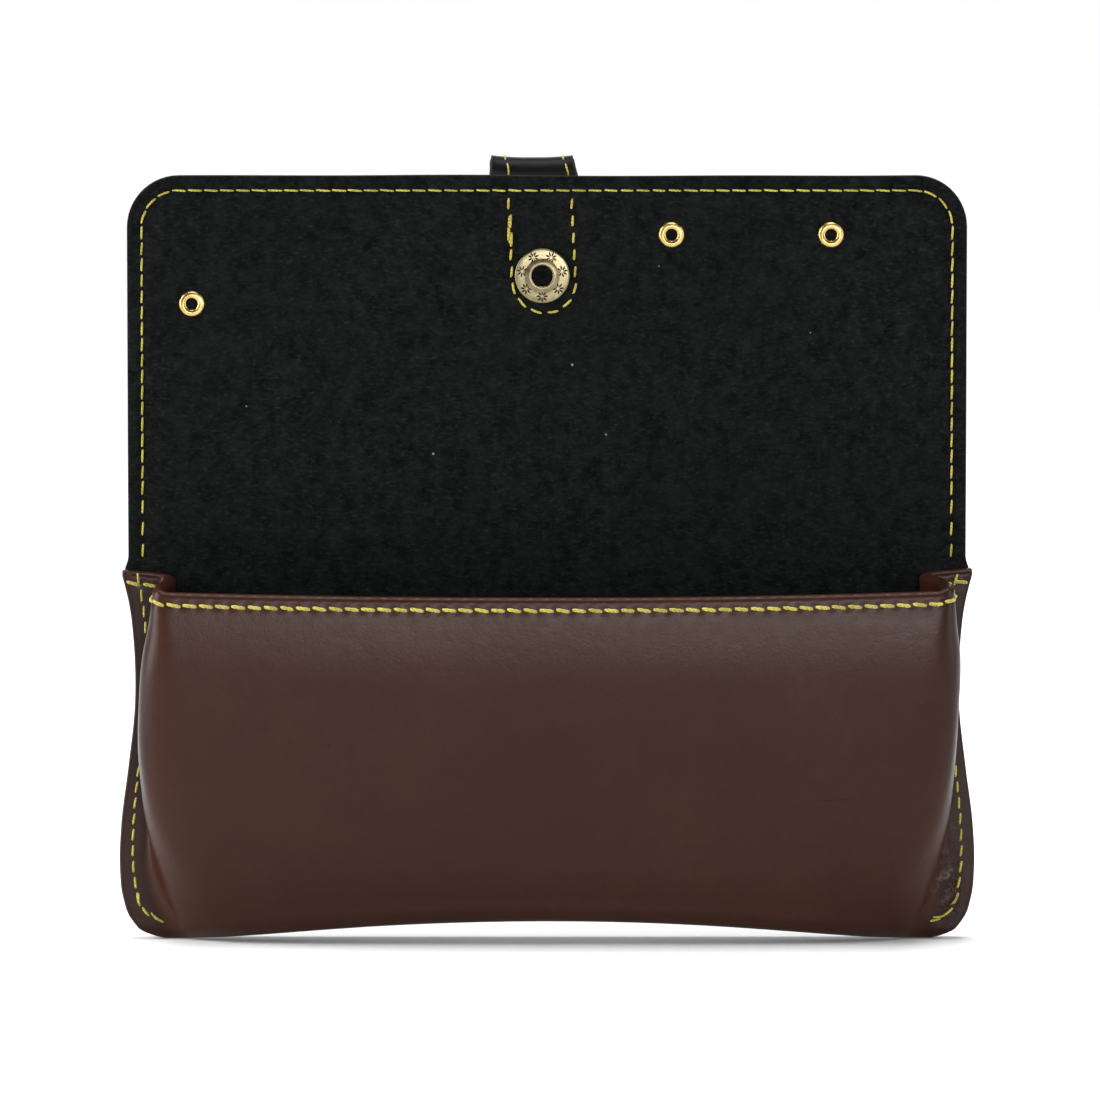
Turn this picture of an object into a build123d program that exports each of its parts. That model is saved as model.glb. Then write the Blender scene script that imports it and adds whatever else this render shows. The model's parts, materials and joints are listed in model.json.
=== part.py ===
from build123d import *
import os

# Eyeglasses case: a pocket folded from one strip of leather lined with felt, sewn up at its two sides.
# The strip runs on over the back as a narrow spine and a flap, and a strap at the flap's free edge folds
# back on itself and snaps shut. The case stands on the bottom of its pocket with the flap upright.
# Millimetres, +Z up, the pocket's front towards -Y. The origin is the middle of the case's box, on the
# surface that it stands on.

# Sheets
LEATHER = 1.2
FELT = 1.0
WALL = LEATHER + FELT
WING = 2 * WALL  # two walls sewn together along the pocket's sides

# Pocket and flap
LIP_Z = 67.8  # the front panel's upper edge
FOLD_Z = 71.0  # lower fold, between pocket and spine
SPINE = 27.0  # between the folds, so the closed flap clears a filled pocket
FLAP_Z = FOLD_Z + SPINE  # upper fold, between spine and flap
FLAP_TOP = 145.0
FLAP_HALF = 79.3
FLAP_CORNER = 9.5
FOLD_GAP = 0.9  # room for the walls to turn at each fold
FRONT_REACH = 24.5  # depth of the pocket at its lip
WING_TOP = 70.3
MOUTH_HALF = 72.4  # inner folds of the wings at the mouth
ARCH_HALF = 61.0  # the bottom arches between two feet
ARCH_RISE = 4.2

# Strap
STRAP_X = -0.9
STRAP_HALF = 8.6
STRAP_LEATHER = 1.3
STRAP_BACKING = 0.5
STRAP_WALL = STRAP_LEATHER + STRAP_BACKING
STRAP_GAP = 3.2  # between the strap's base and its folded tip, filled by the snap
STRAP_LOW = 117.0
TURN_INNER = STRAP_GAP / 2
TURN_OUTER = TURN_INNER + STRAP_WALL
TURN_Z = 149.0 - TURN_OUTER
TIP_NEAR = STRAP_WALL + STRAP_GAP
TIP_FAR = TIP_NEAR + STRAP_WALL

# Snap and rivets
SNAP_Z = 126.35
EYELET_FLANGE = 5.2
EYELET_BORE = 1.95
EYELET_TUBE = 2.3
EYELET_TAIL = 3.6
STUD_FLANGE = 4.2
STUD_BORE = 2.35
KNOB = 2.75
KNOB_REACH = 4.3
SOCKET = 5.0
SOCKET_BORE = 3.05
CAP = 5.6
CAP_THICK = 1.1
POST = 1.2
RIVETS = ((-67.3, 121.0), (23.6, 134.1), (53.8, 134.1))
RIVET_FLARE = 2.5
RIVET_BORE = 1.0
RIVET_TUBE = 1.3
RIVET_CAP = 3.0
METAL = 0.3
FIT = 0.05

# Magnet between the front panel's leather and felt
MAGNET_X = 2.0
MAGNET_Z = 42.8
MAGNET_RADIUS = 5.0
MAGNET_THICK = 0.6

# Thread
THREAD = 0.6
THREAD_PROUD = 0.25
STITCH_IN = 2.5  # from an edge to its seam
HEM_Z = LIP_Z - 2.3

REAR_REACH = TIP_FAR + CAP_THICK
BACK_Y = (FRONT_REACH - REAR_REACH) / 2  # the back panel's outer face

# Stations up the pocket: height, half-width at the wings, half-width of the belly, depth, front corner
STATIONS = (
    (0.0, 68.5, 69.5, 10.5, 4.0),
    (9.0, 71.0, 72.5, 14.5, 7.0),
    (25.0, 73.6, 75.8, 19.5, 11.0),
    (45.0, 74.2, 76.6, 23.0, 11.0),
    (LIP_Z, MOUTH_HALF, 74.9, FRONT_REACH, 6.0),
)


def facing(depth):
    """The upright plane that lies depth in front of the back panel's outer face, looking forward."""
    return Plane.XZ.offset(depth - BACK_Y)


def section(height, foot, belly, depth, corner, inset):
    """One level section of the pocket, shrunk by inset all round."""
    back = BACK_Y - inset
    side = BACK_Y - WING + inset / 2
    front = BACK_Y - depth + inset
    turn = corner - inset
    edge = belly - inset
    with BuildSketch(Plane.XY.offset(height)) as level:
        with BuildLine():
            Polyline((0, back), (foot - inset, back), (foot - inset, side), (edge, front + turn))
            CenterArc((edge - turn, front + turn), turn, 0, -90)
            Line((edge - turn, front), (0, front))
            mirror(about=Plane.YZ)
        make_face()
    return level.sketch


def under_floor(height):
    """All the space below the pocket's arched bottom, raised by height."""
    reach = 2 * FLAP_HALF
    with BuildPart() as space:
        with BuildSketch(facing(-reach)):
            with BuildLine():
                ThreePointArc((-ARCH_HALF, height), (0, height + ARCH_RISE), (ARCH_HALF, height))
                Polyline(
                    (ARCH_HALF, height),
                    (reach, height),
                    (reach, -reach),
                    (-reach, -reach),
                    (-reach, height),
                    (-ARCH_HALF, height),
                )
            make_face()
        extrude(amount=2 * reach)
    return space.part


def bag(inset):
    """The filled pocket as one solid, shrunk by inset all round and above the floor."""
    with BuildPart() as shape:
        loft([section(*station, inset) for station in STATIONS])
        add(under_floor(inset), mode=Mode.SUBTRACT)
    return shape.part


def plate(near, far, floor):
    """The pocket's front-view outline with its wings, from near to far in front of the back face."""
    with BuildPart() as shape:
        with BuildSketch(facing(near)):
            with BuildLine():
                Line((0, 0), (73.0, 0))
                ThreePointArc((73.0, 0), (78.7, 2.7), (81.1, 9.0))
                Spline((81.1, 9.0), (80.9, 17.0), (79.4, 33.0), (77.9, 46.0), (78.3, 58.0), (80.2, pocket_top))
                Line((80.2, pocket_top), (0, pocket_top))
                mirror(about=Plane.YZ)
            make_face()
        extrude(amount=far - near)
        add(under_floor(floor), mode=Mode.SUBTRACT)
    return shape.part


def above_mouth():
    """What is cut away above the front panel: all of it between the wings, and the tips of the wings."""
    with BuildPart() as space:
        with BuildSketch(facing(WALL)):
            with Locations((0, LIP_Z)):
                Rectangle(2 * MOUTH_HALF, FOLD_Z, align=(Align.CENTER, Align.MIN))
            with Locations((0, WING_TOP)):
                Rectangle(4 * MOUTH_HALF, FOLD_Z, align=(Align.CENTER, Align.MIN))
        extrude(amount=2 * FRONT_REACH)
    return space.part


def disc(centre, radius, depth, bore=0.0):
    """A circle, or a ring where it has a bore, in the upright plane at this depth."""
    with BuildSketch(facing(depth)) as shape:
        with Locations(centre):
            Circle(radius)
            if bore:
                Circle(bore, mode=Mode.SUBTRACT)
    return shape.sketch


def flap_outline(depth):
    """The flap's sheet, pierced for the snap and the rivets."""
    low = FLAP_Z + FOLD_GAP / 2
    with BuildSketch(facing(depth)) as shape:
        with Locations((0, low)):
            Rectangle(2 * FLAP_HALF, FLAP_TOP - low, align=(Align.CENTER, Align.MIN))
        fillet(shape.vertices().group_by(Axis.Y)[-1], FLAP_CORNER)
        with Locations(snap):
            Circle(EYELET_TUBE + FIT, mode=Mode.SUBTRACT)
        with Locations(*RIVETS):
            Circle(RIVET_TUBE + FIT, mode=Mode.SUBTRACT)
    return shape.sketch


def spine_outline(depth):
    """The strip between the two folds."""
    with BuildSketch(facing(depth)) as shape:
        with Locations((0, FOLD_Z + SPINE / 2)):
            Rectangle(2 * FLAP_HALF, SPINE - FOLD_GAP)
    return shape.sketch


def strap_outline(depth, hole):
    """The strap below its turn: straight sides and a round end, pierced for the snap."""
    with BuildSketch(facing(depth)) as shape:
        with Locations((STRAP_X, STRAP_LOW + STRAP_HALF)):
            Circle(STRAP_HALF)
            Rectangle(2 * STRAP_HALF, strap_top - STRAP_LOW - STRAP_HALF, align=(Align.CENTER, Align.MIN))
        with Locations(snap):
            Circle(hole, mode=Mode.SUBTRACT)
    return shape.sketch


def turn_outline(inner, outer):
    """Half a ring, seen from the side, where the strap turns back on itself."""
    middle = (BACK_Y + TURN_OUTER, TURN_Z)
    with BuildSketch(Plane.YZ.offset(STRAP_X)) as shape:
        with Locations(middle):
            Circle(outer)
            Circle(inner, mode=Mode.SUBTRACT)
            Rectangle(4 * outer, 2 * outer, align=(Align.CENTER, Align.MAX), mode=Mode.SUBTRACT)
    return shape.sketch


def save(made, name):
    """Name a finished piece and write its file."""
    made.part.label = name
    export_step(made.part, f"parts/{name}.step")


os.makedirs("parts", exist_ok=True)
snap = (STRAP_X, SNAP_Z)
pocket_top = FOLD_Z - FOLD_GAP / 2
strap_top = TURN_Z - 0.1

# Pocket: leather outside, felt inside, and the space for the glasses
outer_bag = bag(0)
inner_bag = bag(LEATHER)
mouth = above_mouth()

with BuildPart() as felt_space:
    add(plate(LEATHER, WING - LEATHER, LEATHER))
    add(mouth, mode=Mode.SUBTRACT)
    add(inner_bag)

with BuildPart() as pocket_leather:
    add(plate(0, WING, 0))
    add(mouth, mode=Mode.SUBTRACT)
    add(outer_bag)
    add(felt_space.part, mode=Mode.SUBTRACT)
save(pocket_leather, "pocket_leather")

with BuildPart() as magnet_seat:
    extrude(disc((MAGNET_X, MAGNET_Z), MAGNET_RADIUS + 2 * FIT, WALL), amount=FRONT_REACH)
    add(bag(LEATHER + MAGNET_THICK + FIT), mode=Mode.SUBTRACT)

with BuildPart() as pocket_lining:
    add(felt_space.part)
    add(bag(WALL), mode=Mode.SUBTRACT)
    add(magnet_seat.part, mode=Mode.SUBTRACT)
save(pocket_lining, "pocket_lining")

with BuildPart() as magnet:
    extrude(disc((MAGNET_X, MAGNET_Z), MAGNET_RADIUS, WALL), amount=FRONT_REACH)
    add(bag(LEATHER + FIT), mode=Mode.INTERSECT)
    add(bag(LEATHER + MAGNET_THICK), mode=Mode.SUBTRACT)
save(magnet, "magnet")

# Seams of the pocket: one up each side through both walls, and the hem under the lip
for side, hand in ((-1, "left"), (1, "right")):
    with BuildPart() as side_thread:
        with BuildSketch(facing(WING)):
            with BuildLine():
                Spline(
                    (side * 77.6, WING_TOP),
                    (side * 76.4, 58.0),
                    (side * 76.4, 44.0),
                    (side * 78.6, 24.0),
                    (side * 78.3, 10.0),
                    (side * 72.4, 3.4),
                )
            trace(line_width=THREAD)
        extrude(amount=THREAD_PROUD)
    save(side_thread, f"side_thread_{hand}")

with BuildPart() as hem_thread:
    with BuildSketch(Plane.XY.offset(HEM_Z)):
        with Locations((0, BACK_Y - WING - THREAD_PROUD)):
            Rectangle(3 * MOUTH_HALF, 2 * FRONT_REACH, align=(Align.CENTER, Align.MAX))
    extrude(amount=THREAD / 2, both=True)
    add(bag(-THREAD_PROUD), mode=Mode.INTERSECT)
    add(outer_bag, mode=Mode.SUBTRACT)
save(hem_thread, "hem_thread")

# Spine
with BuildPart() as spine_leather:
    extrude(spine_outline(0), amount=LEATHER)
save(spine_leather, "spine_leather")

with BuildPart() as spine_lining:
    extrude(spine_outline(LEATHER), amount=FELT)
save(spine_lining, "spine_lining")

for side, hand in ((-1, "left"), (1, "right")):
    with BuildPart() as spine_thread:
        with BuildSketch(facing(WALL)):
            with Locations((side * (FLAP_HALF - STITCH_IN), FOLD_Z + SPINE / 2)):
                Rectangle(THREAD, SPINE - FOLD_GAP)
        extrude(amount=THREAD_PROUD)
    save(spine_thread, f"spine_thread_{hand}")

# Flap
with BuildPart() as flap_leather:
    extrude(flap_outline(0), amount=LEATHER)
save(flap_leather, "flap_leather")

with BuildPart() as flap_lining:
    extrude(flap_outline(LEATHER), amount=FELT)
save(flap_lining, "flap_lining")

with BuildPart() as flap_thread:
    seam_half = FLAP_HALF - STITCH_IN
    seam_top = FLAP_TOP - STITCH_IN
    with BuildSketch(facing(WALL)):
        with BuildLine():
            FilletPolyline(
                (-seam_half, FLAP_Z + FOLD_GAP / 2),
                (-seam_half, seam_top),
                (seam_half, seam_top),
                (seam_half, FLAP_Z + FOLD_GAP / 2),
                radius=FLAP_CORNER - STITCH_IN,
            )
        trace(line_width=THREAD)
    extrude(amount=THREAD_PROUD)
save(flap_thread, "flap_thread")

# Rivets: a tube flared over the felt, and a domed cap on the leather
for number, place in enumerate(RIVETS, 1):
    with BuildPart() as rivet_tube:
        extrude(disc(place, RIVET_FLARE, WALL, RIVET_BORE), amount=2 * METAL)
        fillet(rivet_tube.faces().sort_by(Axis.Y)[0].edges(), METAL / 2)
        extrude(disc(place, RIVET_TUBE, -METAL, RIVET_BORE), amount=WALL + METAL)
    save(rivet_tube, f"rivet_tube_{number}")

    with BuildPart() as rivet_cap:
        extrude(disc(place, RIVET_CAP, -3 * METAL), amount=3 * METAL)
        fillet(rivet_cap.faces().sort_by(Axis.Y)[-1].edges(), 2 * METAL)
        extrude(disc(place, RIVET_TUBE + FIT, -METAL - FIT), amount=METAL + FIT, mode=Mode.SUBTRACT)
    save(rivet_cap, f"rivet_cap_{number}")

# Strap: its base is sewn to the flap's outer face, and its tip hangs folded back behind it
with BuildPart() as strap_base_backing:
    extrude(strap_outline(-STRAP_BACKING, EYELET_TUBE + FIT), amount=STRAP_BACKING)
save(strap_base_backing, "strap_base_backing")

with BuildPart() as strap_base_leather:
    extrude(strap_outline(-STRAP_WALL, EYELET_TUBE + FIT), amount=STRAP_LEATHER)
save(strap_base_leather, "strap_base_leather")

with BuildPart() as strap_fold_backing:
    extrude(turn_outline(TURN_INNER + STRAP_LEATHER, TURN_OUTER), amount=STRAP_HALF, both=True)
save(strap_fold_backing, "strap_fold_backing")

with BuildPart() as strap_fold_leather:
    extrude(turn_outline(TURN_INNER, TURN_INNER + STRAP_LEATHER), amount=STRAP_HALF, both=True)
save(strap_fold_leather, "strap_fold_leather")

with BuildPart() as strap_tip_leather:
    extrude(strap_outline(-TIP_NEAR - STRAP_LEATHER, POST + FIT), amount=STRAP_LEATHER)
save(strap_tip_leather, "strap_tip_leather")

with BuildPart() as strap_tip_backing:
    extrude(strap_outline(-TIP_FAR, POST + FIT), amount=STRAP_BACKING)
save(strap_tip_backing, "strap_tip_backing")

for name, depth, forward in (("strap_seam_thread", WALL, 1), ("strap_tip_thread", -TIP_FAR, -1)):
    with BuildPart() as strap_thread:
        seam_half = STRAP_HALF - STITCH_IN
        seam_low = STRAP_LOW + STITCH_IN + seam_half
        seam_top = FLAP_TOP - STITCH_IN - THREAD
        with BuildSketch(facing(depth)):
            with BuildLine():
                Line((STRAP_X - seam_half, seam_top), (STRAP_X - seam_half, seam_low))
                CenterArc((STRAP_X, seam_low), seam_half, 180, 180)
                Line((STRAP_X + seam_half, seam_low), (STRAP_X + seam_half, seam_top))
            trace(line_width=THREAD)
        extrude(amount=forward * THREAD_PROUD)
    save(strap_thread, name)

# Snap: an eyelet clenched through the flap into a stud, and a socket riveted to the tip by its cap
with BuildPart() as snap_eyelet:
    extrude(disc(snap, EYELET_FLANGE, WALL, EYELET_BORE), amount=METAL)
    extrude(disc(snap, EYELET_TUBE + METAL / 2, WALL, EYELET_BORE), amount=3 * METAL)
    extrude(disc(snap, EYELET_TUBE, -EYELET_TAIL, EYELET_BORE), amount=EYELET_TAIL + WALL)
save(snap_eyelet, "snap_eyelet")

with BuildPart() as snap_stud:
    extrude(disc(snap, STUD_FLANGE, -STRAP_WALL - METAL, STUD_BORE), amount=METAL)
    extrude(disc(snap, KNOB, -KNOB_REACH, STUD_BORE), amount=KNOB_REACH - STRAP_WALL)
    extrude(disc(snap, KNOB, -KNOB_REACH), amount=METAL)
    chamfer(snap_stud.faces().sort_by(Axis.Y)[-1].edges(), METAL / 2)
save(snap_stud, "snap_stud")

with BuildPart() as snap_socket:
    extrude(disc(snap, SOCKET, -TIP_NEAR, SOCKET_BORE), amount=STRAP_GAP - 2 * METAL)
    extrude(disc(snap, SOCKET, -TIP_NEAR, POST + FIT), amount=METAL)
    extrude(
        disc(snap, SOCKET_BORE + 2 * METAL, -TIP_NEAR + 4 * METAL, SOCKET_BORE - METAL),
        amount=2 * METAL,
        mode=Mode.SUBTRACT,
    )
save(snap_socket, "snap_socket")

with BuildPart() as snap_spring:
    extrude(
        disc(snap, SOCKET_BORE + 2 * METAL - FIT, -TIP_NEAR + 4 * METAL + FIT, SOCKET_BORE + FIT),
        amount=2 * METAL - 2 * FIT,
    )
save(snap_spring, "snap_spring")

with BuildPart() as snap_cap:
    extrude(disc(snap, CAP, -TIP_FAR - CAP_THICK), amount=CAP_THICK)
    fillet(snap_cap.faces().sort_by(Axis.Y)[-1].edges(), CAP_THICK * 0.8)
    extrude(disc(snap, POST, -TIP_FAR), amount=STRAP_WALL + METAL)
save(snap_cap, "snap_cap")
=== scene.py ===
import json
import math

import bmesh
import bpy
import numpy as np
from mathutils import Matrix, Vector


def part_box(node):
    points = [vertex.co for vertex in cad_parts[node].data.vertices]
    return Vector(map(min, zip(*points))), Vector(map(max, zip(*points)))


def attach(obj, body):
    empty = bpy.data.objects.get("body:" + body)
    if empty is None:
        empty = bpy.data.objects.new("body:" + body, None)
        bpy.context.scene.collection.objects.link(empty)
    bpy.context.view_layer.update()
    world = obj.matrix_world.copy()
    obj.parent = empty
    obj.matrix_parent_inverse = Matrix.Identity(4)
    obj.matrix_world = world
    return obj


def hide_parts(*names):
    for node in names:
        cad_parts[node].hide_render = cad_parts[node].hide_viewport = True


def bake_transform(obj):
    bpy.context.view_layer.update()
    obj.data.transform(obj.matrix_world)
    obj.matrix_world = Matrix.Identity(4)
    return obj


# Eyeglasses case, standing open. Lengths are in millimetres until mesh_object() turns them into metres.
# A sheet is a grid of points: rows run along the strip of leather, columns across it. "Depth" is measured
# forward from the back panel's outer face, and x and z are the row's own.

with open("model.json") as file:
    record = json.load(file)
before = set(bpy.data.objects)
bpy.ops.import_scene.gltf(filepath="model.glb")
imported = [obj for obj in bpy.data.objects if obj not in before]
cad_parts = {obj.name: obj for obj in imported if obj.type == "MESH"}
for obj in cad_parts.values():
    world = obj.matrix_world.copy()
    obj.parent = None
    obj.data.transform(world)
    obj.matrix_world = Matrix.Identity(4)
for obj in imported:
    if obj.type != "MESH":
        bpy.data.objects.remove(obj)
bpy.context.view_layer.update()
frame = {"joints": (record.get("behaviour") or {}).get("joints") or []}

MM = 0.001


def low(node):
    return np.array(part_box(node)[0]) / MM


def high(node):
    return np.array(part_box(node)[1]) / MM


def middle(node):
    return (low(node) + high(node)) / 2


joints = {j["name"]: np.array(j["pos_m"]) / MM for j in frame["joints"]}

# ---------------------------------------------------------------- dimensions from the frame
BACK = high("spine_leather")[1]
LEATHER = high("spine_leather")[1] - low("spine_leather")[1]
FELT = high("spine_lining")[1] - low("spine_lining")[1]
GAP = 0.03  # between the leather and the felt glued to it
WING = 2 * (LEATHER + FELT) + 0.3
LOWER_FOLD = joints["lower_fold"][2]
UPPER_FOLD = joints["upper_fold"][2]
SPINE_MIDDLE = (LOWER_FOLD + UPPER_FOLD) / 2
FLAP_TOP = high("flap_leather")[2]
FLAP_HALF = high("flap_leather")[0]
FLAP_CORNER = 9.5
SNAP = middle("snap_eyelet")
STRAP_X = middle("strap_base_leather")[0]
STRAP_HALF = high("strap_base_leather")[0] - STRAP_X
STRAP_LOW = low("strap_base_leather")[2]
BACKING = high("strap_base_backing")[1] - low("strap_base_backing")[1]
STRAP_WALL = high("strap_base_leather")[1] - BACK
TURN = joints["strap_turn"]
TURN_OUTER = TURN[1] - BACK
TIP_FAR = high("strap_tip_backing")[1]
STITCH_IN = FLAP_HALF - high("spine_thread_right")[0] + 0.3
PITCH = 3.0
THREAD = 0.20  # radius of the thread on the felt
THICK_THREAD = 0.23  # where it lies loose
HEM_THREAD = 0.34  # and along the hem
THREAD_SIDES = 10
THREAD_RINGS = 13


# ---------------------------------------------------------------- small numeric tools
def along(stations, z):
    """A smooth curve through (height, value) stations, read at z."""
    h, v = np.array(stations, float).T
    slope = np.gradient(v, h)
    z = np.clip(z, h[0], h[-1])
    i = np.clip(np.searchsorted(h, z) - 1, 0, len(h) - 2)
    step = h[i + 1] - h[i]
    t = (z - h[i]) / step
    rise = (2 * t**3 - 3 * t**2 + 1) * v[i] + (3 * t**2 - 2 * t**3) * v[i + 1]
    lean = (t**3 - 2 * t**2 + t) * slope[i] + (t**3 - t**2) * slope[i + 1]
    return rise + step * lean


def ease(t):
    t = np.clip(t, 0, 1)
    return t * t * (3 - 2 * t)


def unit(v):
    return v / np.maximum(np.linalg.norm(v, axis=-1, keepdims=True), 1e-12)


def ripple(x, z, seed, size):
    """A slow unevenness, from -1 to 1, with waves of about size."""
    r = np.random.default_rng(seed)
    total = np.zeros(np.broadcast(x, z).shape)
    for _ in range(6):
        angle, phase = r.uniform(0, 2 * math.pi, 2)
        k = 2 * math.pi / (size * r.uniform(0.7, 1.6))
        total = total + np.sin(k * (x * math.cos(angle) + z * math.sin(angle)) + phase)
    return total / 6


# ---------------------------------------------------------------- meshes
def mesh_object(name, points, faces, material, coords=None):
    """A mesh from points in millimetres. coords holds named numbers for each point."""
    mesh = bpy.data.meshes.new(name)
    mesh.from_pydata((np.asarray(points, float) * MM).tolist(), [], [list(f) for f in faces])
    mesh.update()
    mesh.shade_smooth()
    for label, values in (coords or {}).items():
        attribute = mesh.attributes.new(label, "FLOAT", "POINT")
        attribute.data.foreach_set("value", np.asarray(values, np.float32))
    made = bpy.data.objects.new(name, mesh)
    bpy.context.scene.collection.objects.link(made)
    mesh.materials.append(material)
    return made


def grid_normals(grid):
    """Outward normals of a grid whose rows run down and whose columns run towards +X on the front."""
    down = np.gradient(grid, axis=0)
    across = np.gradient(grid, axis=1)
    return unit(np.cross(down, across))


def border_loop(rows, cols):
    """A grid's border points in order, each with the side it lies on."""
    return (
        [(0, c, "top") for c in range(1, cols - 1)]
        + [(r, cols - 1, "right") for r in range(rows)]
        + [(rows - 1, c, "bottom") for c in range(cols - 2, 0, -1)]
        + [(r, 0, "left") for r in range(rows - 1, -1, -1)]
    )


def border_outward(grid, normal, loop, cut):
    """Which way the border faces, within the sheet, at each of its points."""
    rows, cols = grid.shape[:2]
    border = np.array([grid[r, c] for r, c, _ in loop])
    upward = np.array([normal[r, c] for r, c, _ in loop])
    tangent = unit(np.roll(border, -1, 0) - np.roll(border, 1, 0))
    outward = unit(np.cross(tangent, upward))
    probe = np.array([grid[min(max(r, 1), rows - 2), min(max(c, 1), cols - 2)] for r, c, _ in loop])
    outward *= np.sign(((border - probe) * outward).sum(1, keepdims=True) + 1e-9)
    for i, (r, c, side) in enumerate(loop):
        if side in ("left", "right") and (r == 0 and "top" in cut or r == rows - 1 and "bottom" in cut):
            outward[i] = unit(grid[r, c] - grid[r, c - 1 if c else 1])
    return outward


def shell(name, grid, thickness, material, cut=(), coords=None, edge=None, round_edge=0.3):
    """A closed sheet: grid is its outer face, and its edges are rounded except on the sides named in cut."""
    rows, cols = grid.shape[:2]
    count = rows * cols
    normal = grid_normals(grid)
    thickness = np.broadcast_to(np.asarray(thickness, float), (rows, cols))
    inner = (grid - normal * thickness[..., None]).reshape(-1, 3)
    outer, normals = grid.reshape(-1, 3), normal.reshape(-1, 3)
    index = np.arange(count).reshape(rows, cols)
    quads = np.stack([index[:-1, :-1], index[1:, :-1], index[1:, 1:], index[:-1, 1:]], -1).reshape(-1, 4)
    faces = quads.tolist() + (quads[:, ::-1] + count).tolist()
    sheet_faces = len(faces)

    loop = border_loop(rows, cols)
    ring = np.array([index[r, c] for r, c, _ in loop])
    outward = border_outward(grid, normal, loop, cut)
    swell = np.array([0.0 if side in cut else round_edge for _, _, side in loop])[:, None]
    centre = (outer[ring] + inner[ring]) / 2
    wall = thickness.reshape(-1)[ring][:, None]
    rims = [
        centre + normals[ring] * wall / 2 * math.sin(a) + outward * swell * wall * math.cos(a)
        for a in np.radians((60, 25, -25, -60))
    ]
    n = len(ring)
    levels = [ring] + [2 * count + k * n + np.arange(n) for k in range(len(rims))] + [ring + count]
    for a, b in zip(levels, levels[1:]):
        faces += np.stack([a, np.roll(a, -1), np.roll(b, -1), b], -1).tolist()

    extra = {}
    for label, values in (coords or {}).items():
        flat = np.asarray(values, float).reshape(-1)
        extra[label] = np.concatenate([flat, flat, *[flat[ring]] * len(rims)])
    made = mesh_object(name, np.concatenate([outer, inner, *rims]), faces, material, coords=extra)
    if edge is not None:
        made.data.materials.append(edge)
        for polygon in made.data.polygons[sheet_faces:]:
            polygon.material_index = 1
    fix_normals(made)
    if cut:
        made.data.set_sharp_from_angle(angle=math.radians(50))
    return made


def fix_normals(made, weld=None):
    """Turn every face outward, after welding points closer than weld metres."""
    work = bmesh.new()
    work.from_mesh(made.data)
    if weld:
        bmesh.ops.remove_doubles(work, verts=work.verts, dist=weld)
        bmesh.ops.dissolve_degenerate(work, edges=work.edges, dist=weld)
    bmesh.ops.recalc_face_normals(work, faces=work.faces)
    work.to_mesh(made.data)
    work.free()


def band_faces(first, second, count):
    """Faces between two rings of count points that start at these indices."""
    return [(first + k, second + k, second + (k + 1) % count, first + (k + 1) % count) for k in range(count)]


def lathe(name, centre, profile, material, segments=72):
    """A solid turned about a front-to-back axis, from a closed list of (radius, how far behind BACK)."""
    points, faces = [], []
    for radius, back in profile:
        for a in np.linspace(0, 2 * math.pi, segments, endpoint=False):
            points.append((centre[0] + radius * math.cos(a), BACK + back, centre[2] + radius * math.sin(a)))
    for i in range(len(profile)):
        faces += band_faces(i * segments, (i + 1) % len(profile) * segments, segments)
    made = mesh_object(name, points, faces, material)
    fix_normals(made, weld=1e-6)
    return made


def rounded(profile, radius, steps=4):
    """A closed outline with each corner cut back by radius and rounded."""
    out = []
    pts = [np.array(p, float) for p in profile]
    for i, here in enumerate(pts):
        before, after = pts[i - 1], pts[(i + 1) % len(pts)]
        back = min(radius, 0.45 * np.linalg.norm(before - here))
        ahead = min(radius, 0.45 * np.linalg.norm(after - here))
        start = here + unit(before - here) * back
        end = here + unit(after - here) * ahead
        for t in np.linspace(0, 1, steps + 1):
            out.append(tuple((1 - t) ** 2 * start + 2 * t * (1 - t) * here + t**2 * end))
    return out


def arc_length(path):
    """Distance along a path to each of its points."""
    return np.concatenate([[0], np.cumsum(np.linalg.norm(np.diff(path, axis=0), axis=1))])


def pitch_that_fits(length, pitch=PITCH):
    """The distance between stitches that divides a seam of this length evenly, and how many there are."""
    count = max(1, int((length - pitch * 0.3) / pitch))
    return length / count, count


def stitch(path, outward, gone, s, radius, lean, rise):
    """Rings of points of one stitch, which rises out of one hole and dips into the next."""
    centre = np.stack([np.interp(s, gone, path[:, k]) for k in range(3)], -1)
    normal = unit(np.stack([np.interp(s, gone, outward[:, k]) for k in range(3)], -1))
    side = unit(np.cross(unit(np.gradient(centre, axis=0)), normal))
    t = np.linspace(-1, 1, len(s))
    lift = radius * (0.75 * rise * np.clip(1 - np.abs(t) ** 3.2, 0, 1) - 0.9 * np.abs(t) ** 6)
    centre = centre + normal * lift[:, None] + side * (lean * t)[:, None]
    thick = radius * (1 - 0.35 * np.abs(t) ** 4)
    points = []
    for k in range(len(s)):
        for a in np.linspace(0, 2 * math.pi, THREAD_SIDES, endpoint=False):
            ply = 1 + 0.10 * math.cos(2 * a - 1.925 * (s[k] - s[len(s) // 2]) / radius)
            points.append(centre[k] + thick[k] * ply * (normal[k] * math.cos(a) + side[k] * math.sin(a)))
    return points


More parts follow.
